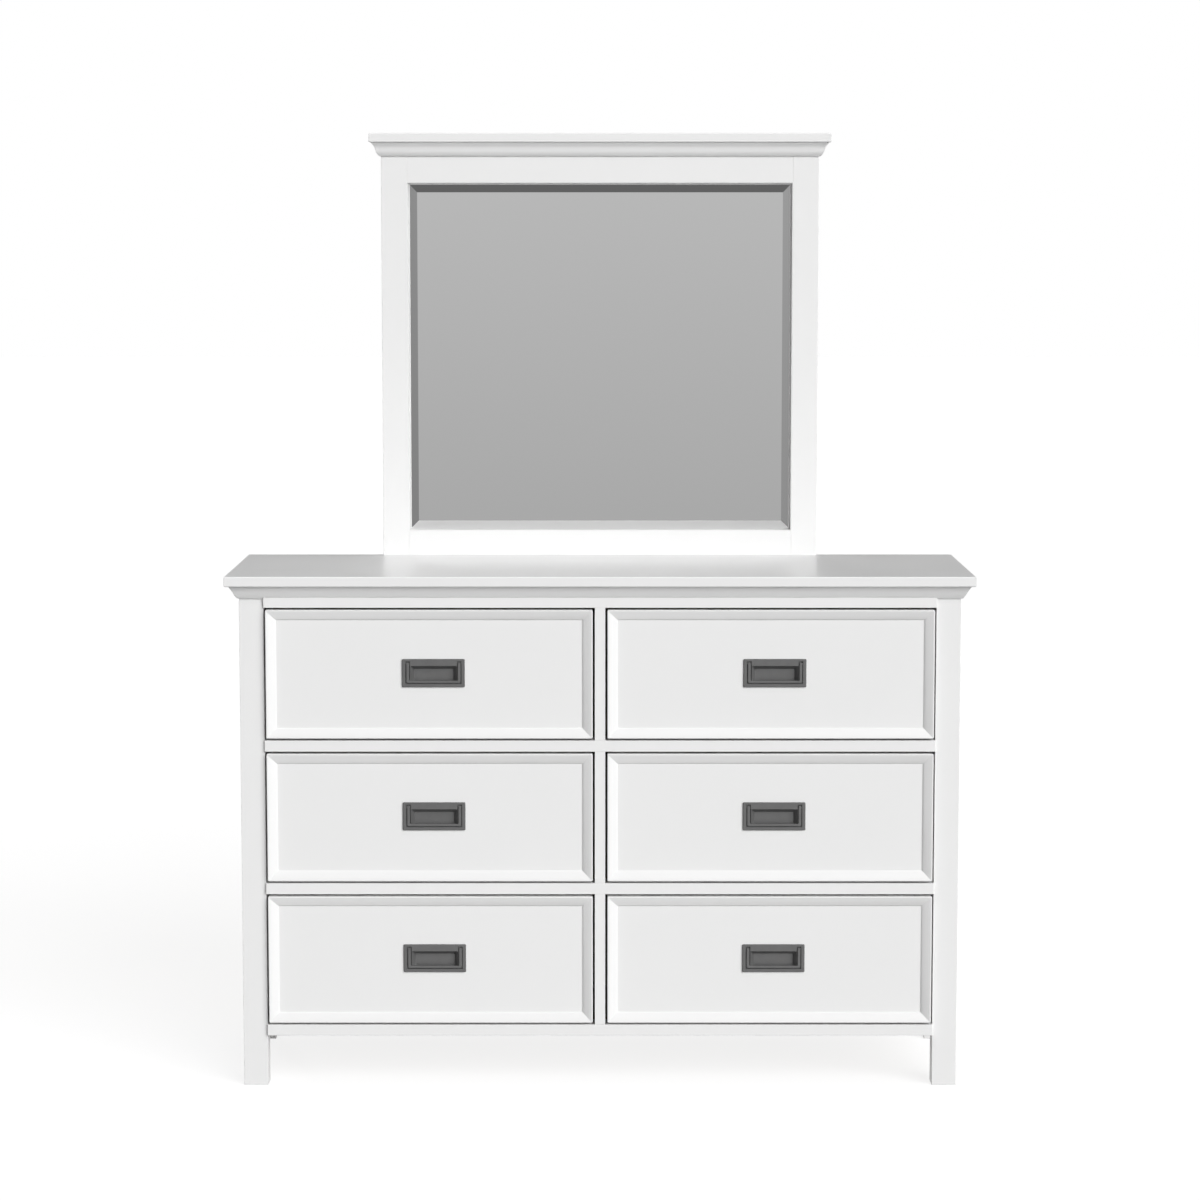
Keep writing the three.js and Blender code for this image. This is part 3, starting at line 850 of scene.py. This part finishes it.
def set_on_face(bm, verts, centre, outward):
    """Moves corners built round Z to a place on a face that looks outward."""
    turn = Vector((0, 0, 1)).rotation_difference(Vector(outward).normalized()).to_matrix().to_4x4()
    bmesh.ops.transform(bm, matrix=Matrix.Translation(Vector(centre)) @ turn, verts=verts)


def add_screw(bm, centre, outward, diameter, rise):
    """A countersunk screw head with a cross recess, standing rise proud of its face."""
    radius = diameter / 2
    arm, slit = radius * 0.62, radius * 0.13
    depth = min(rise * 2.5, radius * 0.3)
    rings = add_rings(bm, [(radius, -rise), (radius * 0.98, 0), (radius * 0.86, rise)], SCREW_SIDES)
    cross = [
        (arm, -slit), (arm, slit), (slit, slit), (slit, arm), (-slit, arm), (-slit, slit),
        (-arm, slit), (-arm, -slit), (-slit, -slit), (-slit, -arm), (slit, -arm), (slit, -slit),
    ]
    mouth = [bm.verts.new((x, y, rise)) for x, y in cross]
    floor = [bm.verts.new((x, y, rise - depth)) for x, y in cross]
    bm.faces.new(rings[0][::-1])
    bm.faces.new(floor)
    join_rings(bm, rings)
    join_rings(bm, [floor, mouth])
    edges = []
    for loop in (rings[-1], mouth):
        edges += [bm.edges.get((loop[i - 1], loop[i])) for i in range(len(loop))]
    bmesh.ops.triangle_fill(bm, edges=edges, use_beauty=True)
    bm.normal_update()
    set_on_face(bm, [v for ring in (*rings, floor, mouth) for v in ring], centre, outward)


def add_nail(bm, centre, outward, diameter, rise):
    """A low domed nail head on a face."""
    radius = diameter / 2
    dome = [(radius, -rise), (radius, rise * 0.3), (radius * 0.8, rise * 0.8), (radius * 0.4, rise)]
    rings = add_rings(bm, dome, NAIL_SIDES)
    bm.faces.new(rings[0][::-1])
    bm.faces.new(rings[-1])
    join_rings(bm, rings)
    set_on_face(bm, [v for ring in rings for v in ring], centre, outward)


def nail_places(low, high, inset, pitch, columns):
    """Places of nails round the back of a board, evenly spaced, and up it at each of these columns."""
    places = []
    across = round((high.x - low.x - 2 * inset) / pitch)
    for i in range(across + 1):
        x = low.x + inset + (high.x - low.x - 2 * inset) * i / across
        places += [((x, high.y, z), (0, 1, 0)) for z in (low.z + inset, high.z - inset)]
    up = round((high.z - low.z - 2 * inset) / pitch)
    for i in range(1, up):
        z = low.z + inset + (high.z - low.z - 2 * inset) * i / up
        places += [((x, high.y, z), (0, 1, 0)) for x in columns]
    return places


def fasteners(name, body, places, adder, diameter, rise):
    """One object with a screw or nail head at each (centre, outward) place."""

    def build(bm):
        for centre, outward in places:
            adder(bm, centre, outward, diameter, rise)

    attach(mesh_object(name, build, steel()), body)


# Operators, one for each piece or group of like pieces


class DRESSER_OT_case(bpy.types.Operator):
    """Lacquer the top, the posts, the side panels, the rails, the stiles and the crown moulding"""

    bl_idname = "dresser.case"
    bl_label = "Lacquered Case"

    def execute(self, context):
        sizes = context.scene.dresser_sizes
        names = ["top_panel", "crown_front", "crown_left", "crown_right"]
        names += ["apron_rail", "upper_rail", "lower_rail", "bottom_rail"]
        names += [f"centre_stile_{row}" for row in ROWS]
        for side in SIDES:
            names += [f"front_post_{side}", f"rear_post_{side}", f"side_panel_{side}"]
        for name in names:
            finish_solid(name, lacquer(), sizes.wood_edge)
        return {"FINISHED"}


class DRESSER_OT_drawer_fronts(bpy.types.Operator):
    """Lacquer the six bevelled drawer fronts"""

    bl_idname = "dresser.drawer_fronts"
    bl_label = "Drawer Fronts"

    def execute(self, context):
        for label in DRAWERS:
            edge = context.scene.dresser_sizes.wood_edge
            finish_solid(f"drawer_front_{label}", lacquer(), edge, pierced=True)
        return {"FINISHED"}


def tail_outline(z0, z1, edge, reach, count, slope):
    """Points from z0 up to z1 that run in and out between two depths as the tails of a board's end."""
    pitch = (z1 - z0) / count
    points = []
    for i in range(count):
        low = z0 + pitch * (i + TAIL_START)
        high = z0 + pitch * (i + TAIL_END)
        points += [(edge, low + slope), (reach, low - slope), (reach, high + slope), (edge, high - slope)]
    return points


class DRESSER_OT_drawer_boxes(bpy.types.Operator):
    """Build the six drawer boxes from dovetailed boards, a floor and the runners of their guides"""

    bl_idname = "dresser.drawer_boxes"
    bl_label = "Drawer Boxes"

    def execute(self, context):
        sizes = context.scene.dresser_sizes
        along_y = material_once("Drawer wood along the depth", lambda n: drawer_wood(n, ALONG_Y))
        along_x = material_once("Drawer wood along the width", lambda n: drawer_wood(n, ALONG_X, 0.94))
        floor_ply = material_once("Plywood along the width", lambda n: plywood(n, ALONG_X))
        for label in DRAWERS:
            low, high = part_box(f"drawer_box_{label}")
            obj = mesh_object(
                f"drawer_boards_{label}",
                lambda bm: self.build(bm, low, high, sizes),
                [along_y, along_x, floor_ply],
            )
            ease_edges(obj, BOARD_EDGE, 2)
            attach(obj, f"drawer_{label}")
            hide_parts(f"drawer_box_{label}")
        return {"FINISHED"}

    def build(self, bm, low, high, sizes):
        """The boards of one box, between the corners of its solid."""
        board = sizes.board
        middle = (low.x + high.x) / 2
        channel = CHANNEL_HALF
        channel_top = low.z - BOX_LIFT + CHANNEL_HEIGHT
        floor_top = channel_top + FLOOR_THICKNESS
        strip = channel + STRIP_WIDTH
        # Each side board ends in tails, and the front and back boards fill the room between them.
        front_in, back_in = low.y + board, high.y - board
        at_front = tail_outline(low.z, high.z, front_in, low.y, sizes.dovetails, sizes.tail_slope)
        at_back = tail_outline(low.z, high.z, back_in, high.y, sizes.dovetails, sizes.tail_slope)
        outline = [(back_in, low.z), *at_back, (back_in, high.z), (front_in, high.z), *at_front[::-1]]
        outline.append((front_in, low.z))
        for x0, x1 in ((low.x, low.x + board), (high.x - board, high.x)):
            add_prism(bm, outline, x0, x1, "YZ", 0)
            for tails, inner, outer in ((at_front, front_in, low.y), (at_back, back_in, high.y)):
                self.add_pins(bm, tails, inner, outer, low.z, high.z, x0, x1)
        x0, x1 = low.x + board, high.x - board
        notched = [
            (x0, low.z), (middle - channel, low.z), (middle - channel, channel_top),
            (middle + channel, channel_top), (middle + channel, low.z), (x1, low.z),
            (x1, high.z), (x0, high.z),
        ]
        add_prism(bm, notched, low.y, front_in, "XZ", 1)
        add_prism(bm, notched, back_in, high.y, "XZ", 1)
        add_block(bm, (x0, front_in, channel_top), (x1, back_in, floor_top), 2)
        for start, end in ((-strip, -channel), (channel, strip)):
            add_block(bm, (middle + start, front_in, low.z), (middle + end, back_in, channel_top), 0)

    def add_pins(self, bm, tails, inner, outer, z0, z1, x0, x1):
        """The pins between the tails of one corner, as blocks of end grain."""
        lows = [(inner, z0)] + [tails[i] for i in range(3, len(tails), 4)]
        low_outs = [(outer, z0)] + [tails[i] for i in range(2, len(tails), 4)]
        highs = [tails[i] for i in range(0, len(tails), 4)] + [(inner, z1)]
        high_outs = [tails[i] for i in range(1, len(tails), 4)] + [(outer, z1)]
        for a, b, c, d in zip(lows, low_outs, high_outs, highs):
            add_prism(bm, [a, b, c, d], x0, x1, "YZ", 1)


class DRESSER_OT_inner_frame(bpy.types.Operator):
    """Finish the guides, partition, back panel and mirror supports, and close the case's bottom"""

    bl_idname = "dresser.inner_frame"
    bl_label = "Inner Frame and Back"

    def execute(self, context):
        sizes = context.scene.dresser_sizes
        guide_wood = material_once("Bare wood along the depth", lambda n: bare_wood(n, ALONG_Y))
        upright_wood = material_once("Bare upright wood", lambda n: bare_wood(n, ALONG_Z))
        board = material_once("Plywood along the width", lambda n: plywood(n, ALONG_X))
        for label in DRAWERS:
            finish_solid(f"drawer_guide_{label}", guide_wood, GUIDE_EDGE, 2)
            self.add_guide_screws(label, sizes)
        finish_solid("centre_partition", board, SHEET_EDGE, 1)
        finish_solid("back_panel", board, SHEET_EDGE, 1)
        for side in SIDES:
            finish_solid(f"mirror_support_{side}", upright_wood, SUPPORT_EDGE, 2)
            self.add_dust_board(side, board)
        low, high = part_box("back_panel")
        columns = (low.x + PANEL_NAIL_INSET, 0.0, high.x - PANEL_NAIL_INSET)
        places = nail_places(low, high, PANEL_NAIL_INSET, PANEL_NAIL_PITCH, columns)
        fasteners("back_panel_nails", "carcass", places, add_nail, sizes.nail_head, NAIL_RISE)
        return {"FINISHED"}

    def add_dust_board(self, side, material):
        """A board below the bottom drawer of one side, from the bottom rail back to the back panel."""
        sign = 1 if side == "right" else -1
        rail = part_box("bottom_rail")
        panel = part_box(f"side_panel_{side}")
        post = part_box(f"rear_post_{side}")
        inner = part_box("centre_partition")[1].x
        at_panel = min(abs(corner.x) for corner in panel)
        at_post = min(abs(corner.x) for corner in post)
        front, notch, rear = rail[1].y, post[0].y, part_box("back_panel")[0].y
        half = [
            (inner, front), (at_panel, front), (at_panel, notch),
            (at_post, notch), (at_post, rear), (inner, rear),
        ]
        outline = [(sign * x, y) for x, y in half]
        low, high = rail[0].z, rail[0].z + DUST_BOARD
        name = f"dust_board_{side}"
        obj = mesh_object(name, lambda bm: add_prism(bm, outline, low, high, "XY"), material)
        ease_edges(obj, SHEET_EDGE, 1)
        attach(obj, "carcass")

    def add_guide_screws(self, label, sizes):
        """Two screws through the bracket of a guide into the back of the case."""
        low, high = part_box(f"drawer_guide_{label}")
        face = high.y - BRACKET_THICKNESS
        height = low.z + GUIDE_SCREW_HEIGHT
        columns = (low.x + GUIDE_SCREW_INSET, high.x - GUIDE_SCREW_INSET)
        places = [((x, face, height), (0, -1, 0)) for x in columns]
        diameter = sizes.screw_head * GUIDE_SCREW_SHARE
        fasteners(f"guide_screws_{label}", "carcass", places, add_screw, diameter, SCREW_RISE)


class DRESSER_OT_pulls(bpy.types.Operator):
    """Finish the plates of the recessed pulls and build their round-edged bails"""

    bl_idname = "dresser.pulls"
    bl_label = "Recessed Pulls"

    def execute(self, context):
        sizes = context.scene.dresser_sizes
        for label in DRAWERS:
            finish_solid(f"pull_plate_{label}", metal(), sizes.metal_edge, 2, pierced=True)
            low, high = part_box(f"pull_bail_{label}")
            obj = mesh_object(f"bail_{label}", lambda bm: self.build_bail(bm, low, high, sizes), metal())
            smooth_mesh(obj)
            ease_edges(obj, sizes.bail_edge, 4, math.radians(50))
            weigh_normals(obj)
            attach(obj, f"bail_{label}")
            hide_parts(f"pull_bail_{label}")
        return {"FINISHED"}

    def build_bail(self, bm, low, high, sizes):
        """A U of metal with round corners, between the corners of its solid, on two short pins."""
        leg, bar = BAIL_LEG, BAIL_BAR
        x0, x1 = low.x + PIN_LENGTH, high.x - PIN_LENGTH
        z0, z1 = low.z, high.z
        r, inner = sizes.bail_corner, sizes.bail_corner * BAIL_INNER_SHARE
        outline = [(x0, z1)]
        outline += arc(x0 + r, z0 + r, r, 180, 270)
        outline += arc(x1 - r, z0 + r, r, 270, 360)
        outline += [(x1, z1), (x1 - leg, z1)]
        outline += arc(x1 - leg - inner, z0 + bar + inner, inner, 0, -90)
        outline += arc(x0 + leg + inner, z0 + bar + inner, inner, -90, -180)
        outline.append((x0 + leg, z1))
        add_prism(bm, outline, low.y, high.y, "XZ")
        half_thick = (high.y - low.y) / 2
        y, z = low.y + half_thick, z1 - half_thick
        for start, end in ((low.x, x0 + PIN_LENGTH / 2), (x1 - PIN_LENGTH / 2, high.x)):
            add_prism(bm, arc(y, z, PIN_RADIUS, 0, 345, 23), start, end, "YZ")


class DRESSER_OT_mirror(bpy.types.Operator):
    """Finish the mirror's frame, cap, mouldings, glass and backing"""

    bl_idname = "dresser.mirror"
    bl_label = "Mirror"

    def execute(self, context):
        sizes = context.scene.dresser_sizes
        names = ["mirror_stile_left", "mirror_stile_right", "mirror_top_rail", "mirror_bottom_rail"]
        names += ["mirror_cap", "mirror_crown"]
        for name in names:
            finish_solid(name, lacquer(), sizes.wood_edge)
        finish_solid("mirror_bead", lacquer(), sizes.wood_edge * BEAD_EDGE_SHARE, pierced=True)
        # The glass keeps its flat faces, so that its bevel stays a crisp band.
        coat_solid("mirror_glass", material_once("Silvered glass", silvered_glass))
        finish_solid("mirror_backing", material_once("Brown fibreboard", fibreboard), SHEET_EDGE, 1)
        low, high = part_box("mirror_backing")
        columns = (low.x + BACKING_NAIL_INSET, high.x - BACKING_NAIL_INSET)
        places = nail_places(low, high, BACKING_NAIL_INSET, BACKING_NAIL_PITCH, columns)
        fasteners("mirror_backing_nails", "carcass", places, add_nail, sizes.nail_head, NAIL_RISE)
        return {"FINISHED"}


class DRESSER_OT_studio(bpy.types.Operator):
    """Set up the floor, the cards that the mirror reflects, the lamps, the room light and the camera"""

    bl_idname = "dresser.studio"
    bl_label = "Studio"

    def execute(self, context):
        studio = context.scene.dresser_studio
        self.add_floor(studio)
        self.add_front_card()
        self.add_rear_card()
        self.add_lamp("Key lamp", studio.key_strength, KEY_SPREAD, KEY_AIM)
        self.add_lamp("Top lamp", studio.top_strength, TOP_SPREAD, TOP_AIM)
        back_lamp = self.add_lamp("Back lamp", studio.back_strength, BACK_SPREAD, BACK_AIM)
        back_lamp.visible_glossy = False
        self.add_room(context.scene, studio)
        self.add_camera(context.scene, studio)
        context.scene.view_settings.view_transform = "Standard"
        return {"FINISHED"}

    def seen_light(self, tree):
        """1 for rays of the camera, of gloss and through glass, which no matt surface scattered."""
        path = tree.nodes.new("ShaderNodeLightPath")
        either = math_node(tree, "MAXIMUM", path.outputs["Is Camera Ray"], path.outputs["Is Glossy Ray"])
        seen = math_node(tree, "MAXIMUM", either, path.outputs["Is Transmission Ray"])
        straight = math_node(tree, "LESS_THAN", path.outputs["Diffuse Depth"], 0.5)
        return math_node(tree, "MULTIPLY", seen, straight)

    def add_floor(self, studio):
        """A pale floor that keeps the shadow and reads as white where no shadow falls."""
        material = bpy.data.materials.new("Pale floor")
        material.use_nodes = True
        tree = material.node_tree
        shader = tree.nodes["Principled BSDF"]
        shader.inputs["Base Color"].default_value = (FLOOR_GREY, FLOOR_GREY, FLOOR_GREY, 1)
        shader.inputs["Roughness"].default_value = 1.0
        shader.inputs["Specular IOR Level"].default_value = 0.0
        shader.inputs["Emission Color"].default_value = (1, 1, 1, 1)
        lit = math_node(tree, "MULTIPLY", self.seen_light(tree), FLOOR_GLOW)
        tree.links.new(lit, shader.inputs["Emission Strength"])
        half = studio.floor_size / 2

        def build(bm):
            corners = ((-half, -half), (half, -half), (half, half), (-half, half))
            bm.faces.new([bm.verts.new((x, y, -FLOOR_DROP)) for x, y in corners])

        mesh_object("studio_floor", build, material)

    def card_material(self, name, upward, sideways):
        """A glow that changes up and across a card, from (share, level) stops along each."""
        material = bpy.data.materials.new(name)
        material.use_nodes = True
        tree = material.node_tree
        tree.nodes.remove(tree.nodes["Principled BSDF"])
        place = tree.nodes.new("ShaderNodeTexCoord").outputs["Generated"]
        axes = tree.nodes.new("ShaderNodeSeparateXYZ")
        tree.links.new(place, axes.inputs["Vector"])
        ramps = []
        for axis, stops in (("Z", upward), ("X", sideways)):
            ramp = tree.nodes.new("ShaderNodeValToRGB")
            tree.links.new(axes.outputs[axis], ramp.inputs["Fac"])
            elements = ramp.color_ramp.elements
            for element, (share, level) in zip((elements[0], elements[1]), (stops[0], stops[-1])):
                element.position, element.color = share, (level, level, level, 1)
            for share, level in stops[1:-1]:
                elements.new(share).color = (level, level, level, 1)
            ramps.append(ramp)
        glow = tree.nodes.new("ShaderNodeEmission")
        both = mix_colors(tree, 1.0, ramps[0].outputs["Color"], ramps[1].outputs["Color"], "MULTIPLY")
        tree.links.new(both, glow.inputs["Color"])
        tree.links.new(self.seen_light(tree), glow.inputs["Strength"])
        tree.links.new(glow.outputs["Emission"], tree.nodes["Material Output"].inputs["Surface"])
        return material

    def add_card(self, name, y, half, material):
        """An upright card across the studio that only gloss sees."""

        def build(bm):
            corners = ((-half, 0), (half, 0), (half, CARD_HEIGHT), (-half, CARD_HEIGHT))
            bm.faces.new([bm.verts.new((x, y, z)) for x, z in corners])

        card = mesh_object(name, build, material)
        card.visible_camera = False
        card.visible_diffuse = False
        card.visible_shadow = False

    def add_front_card(self):
        """What the mirror looks at: a grey card behind the camera, dimmer towards its sides and top."""
        material = self.card_material("Grey front card", FRONT_CARD_UPWARD, FRONT_CARD_SIDEWAYS)
        self.add_card("studio_front_card", -CARD_DISTANCE, FRONT_CARD_HALF, material)

    def add_rear_card(self):
        """What the sheen of the dresser's top looks at: a dim card far behind the object."""
        material = self.card_material("Dim rear card", REAR_CARD_UPWARD, REAR_CARD_SIDEWAYS)
        self.add_card("studio_rear_card", CARD_DISTANCE, REAR_CARD_HALF, material)

    def add_lamp(self, name, strength, spread, aim):
        """A far lamp whose light comes from a disc this many degrees wide and runs along aim."""
        lamp = bpy.data.lights.new(name, "SUN")
        lamp.energy = strength
        lamp.angle = math.radians(spread)
        obj = bpy.data.objects.new(name, lamp)
        obj.rotation_euler = Vector(aim).to_track_quat("-Z", "Y").to_euler()
        bpy.context.scene.collection.objects.link(obj)
        return obj

    def add_room(self, scene, studio):
        """Even light from all round, and white where the camera or gloss sees past the object."""
        world = bpy.data.worlds.new("Studio room")
        scene.world = world
        world.use_nodes = True
        tree = world.node_tree
        background = tree.nodes["Background"]
        background.inputs["Color"].default_value = (1, 1, 1, 1)
        level = to_range(tree, self.seen_light(tree), studio.room_strength, 1.0)
        tree.links.new(level, background.inputs["Strength"])

    def add_camera(self, scene, studio):
        """A long lens, level with the top of the mirror and tilted down a little."""
        data = bpy.data.cameras.new("Camera")
        data.lens = studio.lens
        data.sensor_width = SENSOR_WIDTH
        camera = bpy.data.objects.new("Camera", data)
        camera.location = (0, -studio.camera_distance, studio.camera_height)
        camera.rotation_euler = (QUARTER - studio.camera_tilt, 0, 0)
        scene.collection.objects.link(camera)
        scene.camera = camera


OPERATORS = (
    DRESSER_OT_case,
    DRESSER_OT_drawer_fronts,
    DRESSER_OT_drawer_boxes,
    DRESSER_OT_inner_frame,
    DRESSER_OT_pulls,
    DRESSER_OT_mirror,
    DRESSER_OT_studio,
)


class DRESSER_PT_panel(bpy.types.Panel):
    """Sizes, colours and steps of the dresser"""

    bl_label = "White Dresser"
    bl_idname = "DRESSER_PT_panel"
    bl_space_type = "VIEW_3D"
    bl_region_type = "UI"
    bl_category = "Dresser"

    def draw(self, context):
        scene = context.scene
        for title, group in (
            ("Sizes", scene.dresser_sizes),
            ("Colours", scene.dresser_colours),
            ("Studio", scene.dresser_studio),
        ):
            box = self.layout.box()
            box.label(text=title)
            for name in group.__annotations__:
                box.prop(group, name)
        for operator in OPERATORS:
            self.layout.operator(operator.bl_idname)


SETTINGS = {
    "dresser_sizes": DresserSizes,
    "dresser_colours": DresserColours,
    "dresser_studio": StudioSettings,
}
CLASSES = (*SETTINGS.values(), *OPERATORS, DRESSER_PT_panel)


def register():
    for each in CLASSES:
        bpy.utils.register_class(each)
    for name, group in SETTINGS.items():
        setattr(bpy.types.Scene, name, PointerProperty(type=group))


def unregister():
    for name in SETTINGS:
        delattr(bpy.types.Scene, name)
    for each in reversed(CLASSES):
        bpy.utils.unregister_class(each)


def main():
    register()
    bpy.ops.dresser.case()
    bpy.ops.dresser.drawer_fronts()
    bpy.ops.dresser.drawer_boxes()
    bpy.ops.dresser.inner_frame()
    bpy.ops.dresser.pulls()
    bpy.ops.dresser.mirror()
    bpy.ops.dresser.studio()


if __name__ == "__main__":
    main()
